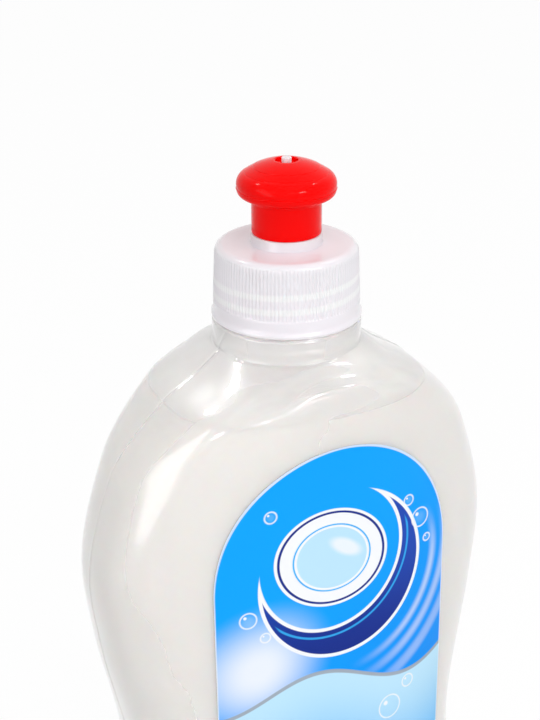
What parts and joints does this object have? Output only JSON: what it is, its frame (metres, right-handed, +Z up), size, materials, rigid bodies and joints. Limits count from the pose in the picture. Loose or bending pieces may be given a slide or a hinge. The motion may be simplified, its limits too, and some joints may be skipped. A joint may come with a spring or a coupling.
{
  "type": "dish soap bottle",
  "caption": "Flattened half-litre blown bottle of white dish soap with labels, a ribbed screw cap and a red push-pull spout.",
  "frame": {"origin": "on the floor under the middle of the bottle", "axes": "+Z up along the neck, -Y out of the front label, +X to the right as seen from the front"},
  "size_m": [0.0934, 0.0554, 0.201],
  "materials": {
    "natural_plastic": "milky clear, smooth",
    "white_soap": "opaque liquid",
    "label_film": "printed film",
    "seal_foam": "soft foam",
    "cap_plastic": "milky, satin",
    "red_plastic": "glossy"
  },
  "bodies": {
    "container": {"bottle": "natural_plastic", "liquid_soap": "white_soap", "front_label": "label_film", "back_label": "label_film"},
    "seal": {"seal_ring": "seal_foam"},
    "closure": {"screw_cap": "cap_plastic"},
    "spout": {"pull_spout": "red_plastic"}
  },
  "joints": [
    {"name": "cap_lift", "type": "slide", "parent": "container", "child": "seal", "axis": [0, 0, 1], "range_m": [0, 0.0046]},
    {"name": "cap_turn", "type": "hinge", "parent": "seal", "child": "closure", "pos_m": [0, 0, 0.168], "axis": [0, 0, 1], "range_deg": [0, 540]},
    {"name": "spout_pull", "type": "slide", "parent": "closure", "child": "spout", "axis": [0, 0, 1], "range_m": [0, 0.0045]}
  ],
  "couplings": [
    {"joint": "cap_lift", "follows": "cap_turn", "m_per_rad": 0.00047746}
  ]
}
